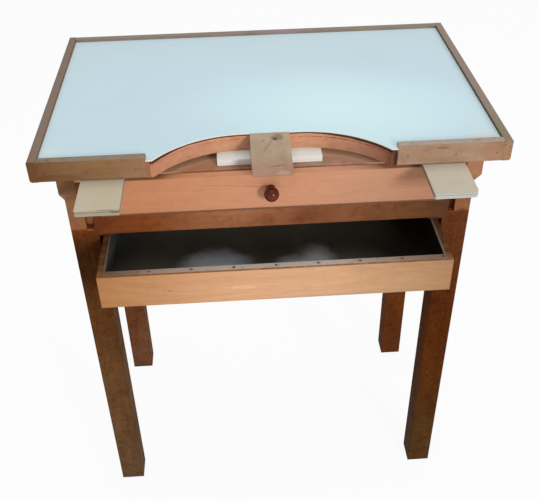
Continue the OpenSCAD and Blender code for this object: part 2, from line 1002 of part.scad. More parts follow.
// Armrest with its middle at x: a flat board with round front corners, and ears behind its guides
module armrest_wood(x, outer_r) {
  put(x, -armrest_out, armrest_z)
    linear_extrude(armrest_t) {
      difference() {
        translate([-armrest_w / 2, 0]) square([armrest_w, armrest_l]);
        translate([-armrest_w / 2 - cut, -cut]) square([armrest_r + cut, armrest_r + cut]);
        translate([armrest_w / 2 - outer_r, -cut]) square([outer_r + cut, outer_r + cut]);
      }
      translate([-armrest_w / 2 + armrest_r, armrest_r]) circle(armrest_r);
      translate([armrest_w / 2 - outer_r, outer_r]) circle(outer_r);
      translate([-armrest_w / 2 - ear_w, armrest_l - ear_l]) square([armrest_w + 2 * ear_w, ear_l]);
    }
}

module left_armrest() {
  color(plywood) on_left() armrest_wood(left_armrest_x, armrest_r);
}

module right_armrest() {
  color(plywood) armrest_wood(right_armrest_x, worn_corner_r);
}

front_left_leg();
front_right_leg();
back_left_leg();
back_right_leg();
left_side_board();
right_side_board();
back_board();
case_top();
left_case_side();
right_case_side();
front_rail();
left_drawer_ledge();
right_drawer_ledge();
left_tray_kicker();
right_tray_kicker();
left_tray_runner();
right_tray_runner();
tray_stops();
left_outer_guide();
left_inner_guide();
right_inner_guide();
right_outer_guide();
top_panel();
laminate();
left_rim();
right_rim();
back_rim();
left_lip();
right_lip();
cut_band();
rim_nails();
pin_cleat();
bench_pin();
pin_screw();
side_board_screws();
back_board_screws();
rail_dowels();
runner_screws();
drawer_front();
left_drawer_side();
right_drawer_side();
drawer_back();
drawer_bottom();
drawer_knob();
knob_screw();
tray_front();
left_tray_side();
right_tray_side();
tray_back();
tray_bottom();
tray_liner();
tray_tacks();
left_armrest();
right_armrest();
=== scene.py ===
import math

import bmesh
import bpy
from mathutils import Matrix, Vector


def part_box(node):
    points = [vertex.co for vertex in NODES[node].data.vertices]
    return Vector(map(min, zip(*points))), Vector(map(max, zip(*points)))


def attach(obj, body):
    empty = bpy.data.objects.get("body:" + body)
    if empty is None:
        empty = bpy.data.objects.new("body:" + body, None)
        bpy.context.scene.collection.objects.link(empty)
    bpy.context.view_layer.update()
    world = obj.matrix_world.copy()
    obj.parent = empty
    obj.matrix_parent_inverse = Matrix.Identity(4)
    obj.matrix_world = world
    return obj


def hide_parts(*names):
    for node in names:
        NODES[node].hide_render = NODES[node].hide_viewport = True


# The looks of the jeweller's bench: a procedural material for each CAD node, a turned knob in place of the plain
# one, and the studio. Every mark is placed in the bench's own space at rest, so it stays on its board in each pose.

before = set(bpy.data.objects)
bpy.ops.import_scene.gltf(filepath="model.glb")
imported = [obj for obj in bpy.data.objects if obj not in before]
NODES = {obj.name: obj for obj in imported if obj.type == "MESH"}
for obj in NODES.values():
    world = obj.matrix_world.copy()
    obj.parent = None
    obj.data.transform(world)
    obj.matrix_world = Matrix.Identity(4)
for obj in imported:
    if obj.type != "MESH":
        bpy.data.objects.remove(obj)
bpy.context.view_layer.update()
MM = 0.001

# Face of the front lips in metres, and the arch of the cut-out behind it in millimetres, as in the CAD source
FRONT_Y = -0.2265
ARCH_HALF_FLAT = 52
ARCH_CENTRE_F = -117
ARCH_R = 200
BAND_T = 4


def place(x, f, z):
    """A point from millimetres: across, behind the face of the lips, and up."""
    return Vector((x * MM, FRONT_Y + f * MM, z * MM))


def srgb(r, g, b, gain=1.0):
    """A linear colour from 0 to 255 display values."""
    def lin(v):
        v /= 255.0
        return v / 12.92 if v <= 0.04045 else ((v + 0.055) / 1.055) ** 2.4
    return (lin(r) * gain, lin(g) * gain, lin(b) * gain, 1.0)


class Shader:
    """A material under construction, with short calls for its nodes."""

    def __init__(self, name):
        self.mat = bpy.data.materials.new(name)
        self.mat.use_nodes = True
        self.tree = self.mat.node_tree
        self.tree.nodes.clear()
        self.out = self.new("ShaderNodeOutputMaterial")
        self.bsdf = self.new("ShaderNodeBsdfPrincipled")
        self.tree.links.new(self.bsdf.outputs[0], self.out.inputs[0])
        self.coord = self.new("ShaderNodeTexCoord")
        self.where = self.coord.outputs["Object"]  # the bench's own space at rest, in metres

    def new(self, kind):
        return self.tree.nodes.new(kind)

    def put(self, value, socket):
        """Links a socket, or sets a number, colour or vector."""
        if isinstance(value, bpy.types.NodeSocket):
            self.tree.links.new(value, socket)
        elif value is not None:
            socket.default_value = value

    def math(self, op, a, b=None, c=None):
        n = self.new("ShaderNodeMath")
        n.operation = op
        self.put(a, n.inputs[0])
        self.put(b, n.inputs[1])
        self.put(c, n.inputs[2])
        return n.outputs[0]

    def times(self, a, b):
        return self.math("MULTIPLY", a, b)

    def minus(self, a, b):
        return self.math("SUBTRACT", a, b)

    def absolute(self, a):
        return self.math("ABSOLUTE", a)

    def total(self, first, *terms):
        """The first value plus each (value - middle) times its weight."""
        for value, middle, weight in terms:
            first = self.math("MULTIPLY_ADD", self.minus(value, middle), weight, first)
        return first

    def vmath(self, op, a, b=None, scale=None):
        n = self.new("ShaderNodeVectorMath")
        n.operation = op
        self.put(a, n.inputs[0])
        self.put(b, n.inputs[1])
        if scale is not None:
            self.put(scale, n.inputs["Scale"])
        return n.outputs["Value"] if op == "LENGTH" else n.outputs[0]

    def mix(self, fac, a, b, blend="MIX"):
        """Mixes two colours: their sockets are inputs 6 and 7 of the node, and output 2 is the result."""
        n = self.new("ShaderNodeMix")
        n.data_type = "RGBA"
        n.blend_type = blend
        self.put(fac, n.inputs[0])
        self.put(a, n.inputs[6])
        self.put(b, n.inputs[7])
        return n.outputs[2]

    def darken(self, fac, colour, factor):
        """Multiplies a colour by a factor for each channel, where fac is 1."""
        return self.mix(fac, colour, (*factor, 1.0), "MULTIPLY")

    def ramp(self, fac, stops):
        n = self.new("ShaderNodeValToRGB")
        e = n.color_ramp.elements
        e[0].position, e[0].color = stops[0]
        e[1].position, e[1].color = stops[-1]
        for pos, colour in stops[1:-1]:
            e.new(pos).color = colour
        self.put(fac, n.inputs[0])
        return n.outputs[0]

    def step(self, fac, lo, hi):
        """0 below lo, 1 above hi, smooth between them."""
        n = self.new("ShaderNodeMapRange")
        n.interpolation_type = "SMOOTHSTEP"
        self.put(fac, n.inputs[0])
        for k, v in enumerate((lo, hi, 0.0, 1.0)):
            n.inputs[k + 1].default_value = v
        return n.outputs[0]

    def off(self, fac, lo, hi):
        """1 below lo, 0 above hi."""
        return self.minus(1.0, self.step(fac, lo, hi))

    def moved(self, vector, loc=(0, 0, 0), scale=(1, 1, 1), rot=(0, 0, 0)):
        n = self.new("ShaderNodeMapping")
        n.inputs["Location"].default_value = loc
        n.inputs["Rotation"].default_value = rot
        n.inputs["Scale"].default_value = scale
        self.put(vector, n.inputs["Vector"])
        return n.outputs[0]

    def noise(self, vector, scale, detail=2.0, rough=0.5, distort=0.0, colour=False):
        n = self.new("ShaderNodeTexNoise")
        self.put(vector, n.inputs["Vector"])
        n.inputs["Scale"].default_value = scale
        n.inputs["Detail"].default_value = detail
        n.inputs["Roughness"].default_value = rough
        n.inputs["Distortion"].default_value = distort
        return n.outputs[1 if colour else 0]

    def warped(self, vector, scale, amount):
        """Bends a space by a slow noise."""
        push = self.vmath("SUBTRACT", self.noise(vector, scale, 2.0, colour=True), (0.5, 0.5, 0.5))
        return self.vmath("ADD", vector, self.vmath("SCALE", push, scale=amount))

    def xyz(self, vector=None):
        n = self.new("ShaderNodeSeparateXYZ")
        self.put(vector or self.where, n.inputs[0])
        return n.outputs

    def across(self):
        """The distance of a point to the right of the middle, in millimetres."""
        return self.times(self.xyz()[0], 1 / MM)

    def behind(self):
        """The distance of a point behind the face of the lips, in millimetres."""
        return self.times(self.minus(self.xyz()[1], FRONT_Y), 1 / MM)

    def height(self):
        """The height of a point over the floor, in millimetres."""
        return self.times(self.xyz()[2], 1 / MM)

    def up(self):
        """1 on faces that look up."""
        return self.step(self.xyz(self.coord.outputs["Normal"])[2], 0.5, 0.85)

    def upright(self):
        """1 on faces that stand upright."""
        return self.off(self.absolute(self.xyz(self.coord.outputs["Normal"])[2]), 0.35, 0.6)

    def ground(self, base, gain=1.0):
        """A plain colour, or (axis, [(millimetres, colour), ...]) for one that changes along an axis."""
        if not isinstance(base[0], str):
            return srgb(*base, gain)
        axis, stops = base
        value = {"X": self.across, "Y": self.behind, "Z": self.height}[axis]()
        lo, hi = stops[0][0], stops[-1][0]
        share = self.math("DIVIDE", self.minus(value, lo), hi - lo)
        return self.ramp(share, [((p - lo) / (hi - lo), srgb(*rgb, gain)) for p, rgb in stops])

    def edge(self, box, wobble, scale):
        """Distance to the nearest edge of a box, in metres, made uneven by a noise."""
        sides = []
        for lo, hi, c in zip(*box, self.xyz()):
            sides.append(self.minus((hi - lo) / 2, self.absolute(self.minus(c, (lo + hi) / 2))))
        a, b, c = sides
        small, large = self.math("MINIMUM", a, b), self.math("MAXIMUM", a, b)
        second = self.math("MAXIMUM", small, self.math("MINIMUM", large, c))
        return self.total(second, (self.noise(self.where, scale, 4.0, 0.6), 0.5, wobble))

    def dab(self, x, f, z, radii, soft=0.5, rag=0.6, turn=0.0, scale=200.0):
        """A mask that is 1 in an ellipsoid and fades to 0 at its rim, which a noise makes ragged."""
        v = self.moved(self.vmath("SUBTRACT", self.where, tuple(place(x, f, z))), rot=(0, 0, turn))
        d = self.vmath("LENGTH", self.vmath("DIVIDE", v, tuple(r * MM for r in radii)))
        d = self.total(d, (self.noise(self.where, scale, 3.0, 0.6), 0.5, rag))
        return self.off(d, 1.0 - soft, 1.0)

    def painted(self, colour, dabs):
        """Lays dabs of other colours on a colour: (where, colour, amount) with where as in dab()."""
        for where, tint, amount in dabs:
            colour = self.mix(self.times(self.dab(**where), amount), colour, srgb(*tint))
        return colour

    def bump(self, height, strength, distance=0.0006):
        n = self.new("ShaderNodeBump")
        n.inputs["Strength"].default_value = strength
        n.inputs["Distance"].default_value = distance
        self.put(height, n.inputs["Height"])
        return n.outputs[0]

    def finish(self, colour, rough, normal=None, metal=None, spec=None, coat=None):
        b = self.bsdf.inputs
        self.put(colour, b["Base Color"])
        self.put(rough, b["Roughness"])
        self.put(normal, b["Normal"])
        self.put(metal, b["Metallic"])
        self.put(spec, b["Specular IOR Level"])
        self.put(coat, b["Coat Weight"])
        if coat:
            b["Coat Roughness"].default_value = 0.2
        return self.mat


def at(x, f, z, *radii, **more):
    """Where a dab of another colour lies: its middle and its three radii, in millimetres."""
    return dict(x=x, f=f, z=z, radii=radii, **more)


def beside_arch(s, margin):
    """Distance from the line of the arch, drawn in by a margin, into the top, in millimetres."""
    run = s.math("MAXIMUM", s.minus(s.absolute(s.across()), ARCH_HALF_FLAT), 0.0)
    rise = s.minus(s.behind(), ARCH_CENTRE_F)
    reach = s.math("POWER", s.total(s.times(run, run), (s.times(rise, rise), 0.0, 1.0)), 0.5)
    return s.minus(reach, ARCH_R - margin)


# Wood. Its ground colour lies midway between its light tone (LIFT) and its dark tone (LIFT * DEEP).
LIFT = 1.2
DEEP = (0.70, 0.65, 0.60)
# Tints that multiply a wood's colour
MOTTLED = (0.72, 0.64, 0.55)
PORE = (0.55, 0.45, 0.38)
SOILED = (0.55, 0.48, 0.42)
WORN = (0.6, 0.52, 0.45)
DUST = (176, 150, 118)


def along(axis, factor):
    """Scale vector that draws a texture out along the grain."""
    return tuple(factor if a == axis else 1.0 for a in "XYZ")


def grain(s, home, axis, figure, lines):
    """The tone of growth lines, streaks and fibres along an axis, its broad part, the fibres and the pores."""
    bent = s.warped(home, 5.0, 0.03)
    drawn = s.moved(bent, scale=along(axis, 0.09))
    growth = s.math("SINE", s.times(s.noise(drawn, 10.0, 2.0, 0.5, 0.3), 95.0))
    broad = s.noise(drawn, 26.0, 4.0, 0.55, 0.6)
    streak = s.noise(s.moved(bent, scale=along(axis, 0.04)), 150.0, 2.0)
    fibre = s.noise(s.moved(bent, scale=along(axis, 0.03)), 640.0, 3.0, 0.6)
    pore = s.step(s.noise(s.moved(bent, scale=along(axis, 0.07)), 900.0, 1.0), 0.6, 0.72)
    tone = s.total(0.5, (broad, 0.5, 1.7 * figure), (growth, 0.0, 0.16 * lines), (streak, 0.5, 0.9 * figure),
                   (fibre, 0.5, 0.4))
    return tone, broad, fibre, pore


def wood(name, base, axis, seed, box=None, figure=0.6, lines=0.5, mottle=0.35, blotch=None, pores=0.3, specks=0.0,
         grime=0.25, wear=0.25, rough=0.5, bump=0.25, gloss=0.1, top=None, coat=None, dabs=(), extra=None):
    """Stained wood: grain, mottles, grime, worn edges and dabs of other colours, one layer over the other.

    blotch and top are (colour, amount), for large stains and for a greyed upper face. extra(shader, colour) lays
    the last marks.
    """
    s = Shader(name)
    home = s.moved(s.where, loc=(seed * 1.37, seed * 0.73 + 3.1, seed * 1.91 - 2.2))
    tone, broad, fibre, pore = grain(s, home, axis, figure, lines)
    light = s.ground(base, LIFT)
    colour = s.mix(tone, s.darken(1.0, light, DEEP), light)
    if blotch:
        tint, amount = blotch
        stain = s.step(s.noise(home, 4.5, 3.0, 0.55, 0.6), 0.42, 0.66)
        colour = s.mix(s.times(stain, amount), colour, srgb(*tint))
    patch = s.step(s.noise(home, 46.0, 4.0, 0.6), 0.46, 0.7)
    colour = s.darken(s.times(patch, mottle), colour, MOTTLED)
    colour = s.darken(s.times(pore, pores), colour, PORE)
    soil = s.step(s.noise(home, 15.0, 8.0, 0.7), 0.5, 0.74)
    colour = s.darken(s.times(soil, grime), colour, SOILED)
    if specks:
        dust = s.step(s.noise(home, 330.0, 3.0, 0.7), 0.6, 0.72)
        colour = s.mix(s.times(dust, specks), colour, srgb(*DUST))
    if top:
        tint, amount = top
        greyed = s.times(s.times(s.up(), amount), s.step(s.noise(home, 60.0, 5.0, 0.65), 0.15, 0.6))
        colour = s.mix(greyed, colour, srgb(*tint))
    dent = s.step(s.noise(home, 95.0, 3.0), 0.28, 0.38)
    rise = s.total(0.0, (fibre, 0.5, 0.5), (pore, 0.0, -0.8), (dent, 0.0, 0.5))
    if box:
        worn = s.off(s.edge(box, 0.0035, 75.0), 0.0004, 0.0022)
        colour = s.darken(s.times(worn, wear), colour, WORN)
        rise = s.total(rise, (worn, 0.0, -0.5))
    colour = s.painted(colour, dabs)
    if extra:
        colour = extra(s, colour)
    roughness = s.total(rough, (broad, 0.5, 0.3), (soil, 0.0, 0.2))
    return s.finish(colour, roughness, s.bump(rise, bump), spec=gloss, coat=coat)


# Plywood: tints that multiply its colour, the colour and amount of its stain, and its glue
PLY_DEEP = (0.86, 0.83, 0.78)
PLY_SOILED = (0.72, 0.66, 0.58)
PLY_STAIN = ((150, 132, 104), 0.25)
GLUE = (92, 78, 62)


def plywood(name, base, axis, seed, box=None, edge=None, glue=(), stain=PLY_STAIN, dabs=()):
    """Raw plywood: a pale face with fine grain, and on its edges layers parted by glue lines.

    glue lists the lines: their height and half their width in millimetres, and their amount.
    """
    s = Shader(name)
    home = s.moved(s.where, loc=(seed * 1.3, seed * 0.8 - 1.0, seed * 2.1))
    bent = s.warped(home, 6.0, 0.02)
    broad = s.noise(s.moved(bent, scale=along(axis, 0.08)), 42.0, 4.0, 0.55, 0.5)
    fibre = s.noise(s.moved(bent, scale=along(axis, 0.03)), 700.0, 2.0, 0.6)
    tone = s.total(0.5, (broad, 0.5, 0.65), (fibre, 0.5, 0.35))
    light = s.ground(base)
    colour = s.mix(tone, s.darken(1.0, light, PLY_DEEP), light)
    tint, amount = stain
    stained = s.step(s.noise(home, 9.0, 6.0, 0.62), 0.46, 0.72)
    colour = s.mix(s.times(stained, amount), colour, srgb(*tint))
    soil = s.step(s.noise(home, 24.0, 8.0, 0.7), 0.52, 0.74)
    colour = s.darken(s.times(soil, 0.15), colour, PLY_SOILED)
    side = s.upright()
    if edge:
        end = s.noise(s.moved(s.where, scale=(1.0, 1.0, 3.0)), 700.0, 2.0, 0.6)
        dark, pale = [v * 0.9 for v in edge], [min(255, v * 1.08) for v in edge]
        colour = s.mix(side, colour, s.mix(end, srgb(*dark), srgb(*pale)))
    rise = s.times(fibre, 0.6)
    for z, half, amount in glue:
        gap = s.absolute(s.total(s.minus(s.height(), z), (s.noise(home, 70.0, 3.0), 0.5, 0.8)))
        line = s.times(side, s.off(gap, half * 0.4, half))
        colour = s.mix(s.times(line, amount), colour, srgb(*GLUE))
        rise = s.total(rise, (line, 0.0, -0.6))
    if box:
        worn = s.off(s.edge(box, 0.002, 90.0), 0.0002, 0.0014)
        colour = s.darken(s.times(worn, 0.35), colour, PLY_SOILED)
    colour = s.painted(colour, dabs)
    return s.finish(colour, s.total(0.62, (broad, 0.5, 0.15)), s.bump(rise, 0.22, 0.0005), spec=0.08)


# Laminate: its ground, a pool of light painted in its middle, its pale corners, and the colours of its marks and
# edges
LAMINATE_TONES = ("Y", [(20, (198, 221, 228)), (180, (199, 223, 231)), (330, (198, 221, 229)),
                        (540, (198, 218, 225))])
LAMINATE_LIGHT_POOL = [(at(140, 160, 954, 400, 250, 60, soft=1.0, rag=0.3, turn=0.1, scale=5.0), (212, 240, 245), 0.9)]
LAMINATE_CORNERS = [(at(396, 26, 954, 62, 34, 9, soft=0.9), (216, 218, 210), 0.7),
                    (at(-396, 28, 954, 34, 60, 9, soft=0.9), (212, 226, 222), 0.6)]
CLOUD = (195, 215, 225)
SMEAR = (216, 226, 226)
SMUDGE = (150, 152, 146)
CUT_MARK = (168, 178, 182)
SOILED_AND_SHADED_RIM = (205, 208, 196)
CLEAN_EDGE_AND_HIGHLIGHT = (228, 230, 222)
SHEET_EDGE = (228, 226, 212)


def laminate_material(box):
    """Pale laminate: slow tone changes, smears, fine scratches, a painted pool of light, a clean edge with a painted
    highlight, and soiled rims with painted shade.
    """
    s = Shader("laminate_sheet")
    cloud = s.step(s.noise(s.where, 2.6, 3.0, 0.5, 0.5), 0.35, 0.62)
    colour = s.mix(s.times(cloud, 0.4), s.ground(LAMINATE_TONES), srgb(*CLOUD))
    # painted pool of light: a broad pale patch in the middle of the sheet
    colour = s.painted(colour, LAMINATE_LIGHT_POOL)
    smear = s.noise(s.moved(s.where, rot=(0, 0, 0.5), scale=(0.35, 1.0, 1.0)), 11.0, 7.0, 0.7, 1.2)
    colour = s.mix(s.times(s.step(smear, 0.52, 0.78), 0.14), colour, srgb(*SMEAR))
    dirt = s.step(s.noise(s.where, 46.0, 8.0, 0.72), 0.64, 0.8)
    colour = s.mix(s.times(dirt, 0.12), colour, srgb(*SMUDGE))
    colour = s.painted(colour, LAMINATE_CORNERS)
    cuts = s.step(s.noise(s.moved(s.where, rot=(0, 0, 0.9), scale=(0.03, 1.0, 1.0)), 260.0, 2.0), 0.74, 0.78)
    colour = s.mix(s.times(cuts, 0.1), colour, srgb(*CUT_MARK))
    # soil along the rims, and painted shade where the rims stand over the sheet
    rim = s.off(s.edge(box, 0.005, 40.0), 0.0005, 0.004)
    colour = s.mix(s.times(rim, 0.4), colour, srgb(*SOILED_AND_SHADED_RIM))
    # a clean pale line along the arch, brightened as a painted highlight on the edge
    clean = s.off(s.total(beside_arch(s, BAND_T), (s.noise(s.where, 60.0, 3.0), 0.5, 2.5)), 0.2, 2.0)
    colour = s.mix(s.times(clean, 0.6), colour, srgb(*CLEAN_EDGE_AND_HIGHLIGHT))
    colour = s.mix(s.upright(), colour, srgb(*SHEET_EDGE))
    rise = s.total(0.0, (s.noise(s.where, 320.0, 3.0, 0.6), 0.5, 0.25), (cuts, 0.0, -1.0))
    return s.finish(colour, s.total(0.36, (smear, 0.5, 0.25)), s.bump(rise, 0.06, 0.0003), spec=0.4)


# Steel where it is scratched and where it rusts
BARE_STEEL = (150, 148, 144)
RUST = (92, 62, 44)


def metal(name, base, seed, rough, metallic, rust, contrast=0.4, dabs=(), extra=None):
    """Darkened sheet or nail steel, with blotches, scratches and a little rust."""
    s = Shader(name)
    home = s.moved(s.where, loc=(seed, seed * 0.6, 0.0))
    cloud = s.noise(home, 12.0, 7.0, 0.66, 0.5)
    light = s.ground(base, 1.0 + contrast / 2)
    colour = s.mix(s.step(cloud, 0.35, 0.65), s.darken(1.0, light, (1 - contrast,) * 3), light)
    scratch = s.step(s.noise(s.moved(home, rot=(0, 0, 0.3), scale=(0.03, 1.0, 1.0)), 380.0), 0.66, 0.72)
    colour = s.mix(s.times(scratch, 0.12), colour, srgb(*BARE_STEEL))
    red = s.step(s.noise(home, 60.0, 6.0, 0.7), 0.6, 0.74)
    colour = s.mix(s.times(red, rust), colour, srgb(*RUST))
    colour = s.painted(colour, dabs)
    if extra:
        colour = extra(s, colour)
    rise = s.total(0.0, (cloud, 0.5, 0.5), (scratch, 0.0, -0.3))
    return s.finish(colour, s.total(rough, (cloud, 0.5, 0.3)), s.bump(rise, 0.15), metal=metallic)


# Points nearer than this, in metres, are joined, and edges sharper than this angle are broken
WELD_WITHIN = 0.00001
SHARP_ANGLE = math.radians(50)
NORMAL_WEIGHT = 60


def dress(node, material, bevel=0.0, segments=2, curved=False):
    """Gives a CAD node its material, and breaks its edges a little.

    Only a curved node gets weighted normals: round a hole in a flat face they draw cracks on its thin triangles.
    """
    o = NODES[node]
    o.data.materials.clear()
    o.data.materials.append(material)
    if bevel:
        o.modifiers.new("weld", "WELD").merge_threshold = WELD_WITHIN
        cut = o.modifiers.new("bevel", "BEVEL")
        cut.width = bevel
        cut.segments = segments
        cut.limit_method = "ANGLE"
        cut.angle_limit = SHARP_ANGLE
        cut.use_clamp_overlap = True
    if curved:
        smooth = o.modifiers.new("normals", "WEIGHTED_NORMAL")
        smooth.keep_sharp = False
        smooth.weight = NORMAL_WEIGHT


# Dark lines of dirt and painted shade: their colour, how ragged their sides are and how soft, in millimetres
DIRT_AND_SHADE = (52, 40, 30)
LINE_RAG = 2.4
LINE_SOFT = 0.6


def dirt_and_shade_line(axis, low, high, amount):
    """A ragged line of dirt and painted shade on a wood, between two values of distance back (Y) or height (Z)."""
    def lay(s, colour):
        value = s.behind() if axis == "Y" else s.height()
        value = s.total(value, (s.noise(s.where, 130.0, 4.0, 0.65), 0.5, LINE_RAG))
        band = s.times(s.step(value, low - LINE_SOFT, low + LINE_SOFT),
                       s.off(value, high - LINE_SOFT, high + LINE_SOFT))
        if axis == "Z":  # not on the front ends of the rims
            band = s.times(band, s.step(s.behind(), 5.0, 12.0))
        return s.mix(s.times(band, amount), colour, srgb(*DIRT_AND_SHADE))
    return lay


# Rims and lips: greyed on top, browner on their faces, dark beside the laminate with dirt and painted shade in the
# crease
RIM_CHIPS = [(at(x, 0, z, 1.7, 3, 1.9, rag=1.2, scale=500.0), (70, 40, 25), 0.6)
             for x, z in ((412, 952), (421, 947), (421, 939), (420, 932))]
RIMS = {
    "left_rim": dict(
        axis="Y", seed=3, base=(134, 102, 76), top=((129, 115, 106), 0.9), extra=dirt_and_shade_line("Z", 950, 956.2, 0.5),
        dabs=[(at(-425, 0, 940, 9, 30, 40), (104, 84, 66), 0.6),
              (at(-417, 0, 938, 16, 3, 44, soft=0.2, rag=0.2), (104, 69, 41), 1.0)]),
    # its crease line is darker: painted shade on the inner face, which turns away from the light
    "right_rim": dict(
        axis="Y", seed=4, base=(140, 122, 104), top=((147, 132, 120), 0.9), extra=dirt_and_shade_line("Z", 950, 957.6, 0.9),
        dabs=[(at(417, 40, 960, 14, 60, 12), (128, 118, 92), 0.5),
              (at(418, 0, 940, 10, 17, 28), (162, 120, 90), 0.9), *RIM_CHIPS]),
    "back_rim": dict(
        axis="X", seed=5, base=(138, 124, 114), top=((142, 130, 123), 0.9),
        dabs=[(at(-250, 548, 950, 70, 30, 20), (134, 131, 112), 0.7),
              (at(60, 548, 950, 60, 30, 20), (150, 133, 136), 0.7),
              (at(-90, 548, 950, 50, 30, 20), (146, 124, 112), 0.6),
              (at(250, 548, 950, 60, 30, 20), (140, 128, 110), 0.6)]),
    "left_lip": dict(
        axis="X", seed=1, top=((141, 133, 117), 0.8), extra=dirt_and_shade_line("Y", 14.4, 30, 0.85),
        # darker towards its left end: partly worn wood, partly painted shade where less light reaches
        base=("X", [(-410, (110, 76, 48)), (-370, (126, 92, 60)), (-300, (139, 106, 74)), (-221, (150, 114, 85))]),
        dabs=[(at(-380, 0, 925, 60, 6, 12), (100, 66, 38), 0.5),
              (at(-240, 0, 926, 22, 6, 8), (150, 108, 84), 0.6)]),
    "right_lip": dict(
        axis="X", seed=2, top=((168, 161, 149), 0.8), extra=dirt_and_shade_line("Y", 15.0, 30, 0.7),
        base=("X", [(221, (166, 136, 114)), (370, (164, 136, 112)), (425, (158, 118, 88))]),
        dabs=[(at(398, 0, 934, 30, 10, 26), (160, 114, 84), 0.4),
              (at(300, 0, 952, 16, 3, 3, rag=1.6), (112, 84, 66), 0.6)]),
}
for node, look in RIMS.items():
    dress(node, wood("wood_" + node, box=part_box(node), figure=0.5, mottle=0.3, grime=0.35, wear=0.2, rough=0.55,
                     specks=0.15, **look), bevel=0.0003)

# Top: the laminate, and the plywood under it, which shows between the band and the lips
# The plywood's edge is salmon at the left end, and painted near black at the right end as shade beside the lip
CORE_TINT_AND_SHADE = [(at(-217.5, -1, 936, 5.5, 5, 30, rag=0.3), (152, 100, 70), 0.95),
             (at(217.5, -1, 936, 5.5, 5, 30, rag=0.3), (58, 28, 20), 0.95)]
CORE_GLUE = [(924 + 4 * k, 0.6, 0.4) for k in range(7)]
dress("laminate", laminate_material(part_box("laminate")), bevel=0.0003, segments=1)
dress("top_panel", plywood("board_top_panel", (176, 150, 116), "X", 1, edge=(158, 122, 90), glue=CORE_GLUE,
                           dabs=CORE_TINT_AND_SHADE))


# Marks on the band: the height of the gap over it, dark with dirt and painted shade, and of the seam under that, and
# their colours
GAP_Z = 949.6
SEAM_Z = 943.4
SHADED_GAP = (58, 32, 22)
SEAM = (112, 52, 34)


def band_line(s, colour):
    """A dark joint between the band and the laminate with painted shade in it, wider at both ends, and a thin broken
    line under it.
    """
    x = s.across()
    wide = s.math("MAXIMUM", s.step(x, 60.0, 170.0), s.off(x, -205.0, -150.0))
    rough_edge = s.noise(s.where, 60.0, 4.0, 0.6)
    gap = s.minus(s.height(), s.total(GAP_Z, (wide, 0.0, -2.9), (rough_edge, 0.5, 3.0)))
    colour = s.mix(s.times(s.step(gap, -0.4, 0.4), 0.92), colour, srgb(*SHADED_GAP))
    seam = s.absolute(s.minus(s.height(), s.total(SEAM_Z, (rough_edge, 0.5, 1.5))))
    broken = s.step(s.noise(s.where, 150.0, 3.0), 0.34, 0.5)
    share = s.total(0.35, (s.step(x, 30.0, 140.0), 0.0, 0.5))
    return s.mix(s.times(s.times(s.off(seam, 0.4, 1.3), broken), share), colour, srgb(*SEAM))


# The band darkens towards its right end: painted shade where it turns away from the key lamp
BAND_TONES = ("X", [(-214, (184, 130, 102)), (-160, (192, 140, 114)), (-90, (202, 149, 117)),
                    (80, (204, 150, 120)), (120, (192, 140, 114)), (160, (181, 134, 109)), (200, (152, 102, 80)),
                    (214, (104, 58, 40))])
dress("cut_band", wood("wood_cut_band", BAND_TONES, "X", 7, figure=0.5, lines=0.2, grime=0.2, rough=0.45, bump=0.2,
                       extra=band_line), bevel=0.0005, curved=True)


# Drawer case: the boards, ledges, battens, blocks and guides, each with the seed of its grain by its place here
CASE_NODES = ("case_top", "front_rail", "left_case_side", "right_case_side", "left_drawer_ledge",
              "right_drawer_ledge", "left_tray_kicker", "right_tray_kicker", "left_tray_runner",
              "right_tray_runner", "tray_stops", "left_outer_guide", "left_inner_guide", "right_inner_guide",
              "right_outer_guide")
CASE_FIRST_SEED = 11
CASE_TONE = (146, 100, 70)
CASE_TONES = {
    # case_top is paler from 90 to 135 mm across: painted light where the top shades it
    "case_top": ("X", [(-150, (164, 118, 88)), (0, (168, 126, 102)), (90, (188, 158, 142)),
                       (135, (188, 146, 126)), (190, (140, 78, 58))]),
    "front_rail": ("X", [(-335, (96, 47, 21)), (-300, (120, 62, 28)), (-240, (131, 70, 32)),
                         (-75, (168, 112, 78)), (90, (154, 98, 68)), (245, (124, 81, 50)), (335, (86, 52, 28))]),
    # The left case side and left outer guide are paler: painted light in the recess beside the left front leg
    "left_case_side": (190, 112, 62),
    "right_case_side": (150, 74, 44),
    "left_outer_guide": (200, 124, 70),
    "right_outer_guide": (150, 76, 46),
    "left_tray_kicker": (92, 48, 28),
    "right_tray_kicker": (92, 48, 28),
}
PAINTED_LIGHT_UNDER_TOP = (232, 186, 152)


def case_top_light_and_shade(s, colour):
    """Painted light on the board over the drawer where the top hangs over it, and painted shade on its front edge, in
    the gap.
    """
    colour = dirt_and_shade_line("Z", 890, 899, 0.8)(s, colour)
    return s.mix(s.times(s.step(beside_arch(s, 0.0), -20.0, 5.0), 0.8), colour, srgb(*PAINTED_LIGHT_UNDER_TOP))


for k, node in enumerate(CASE_NODES):
    dress(node, wood("wood_" + node, CASE_TONES.get(node, CASE_TONE),
                     "X" if node in ("case_top", "front_rail") else "Y", CASE_FIRST_SEED + k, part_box(node),
                     mottle=0.7, blotch=((112, 62, 34), 0.45), grime=0.4,
                     extra=case_top_light_and_shade if node == "case_top" else None), bevel=0.0005)

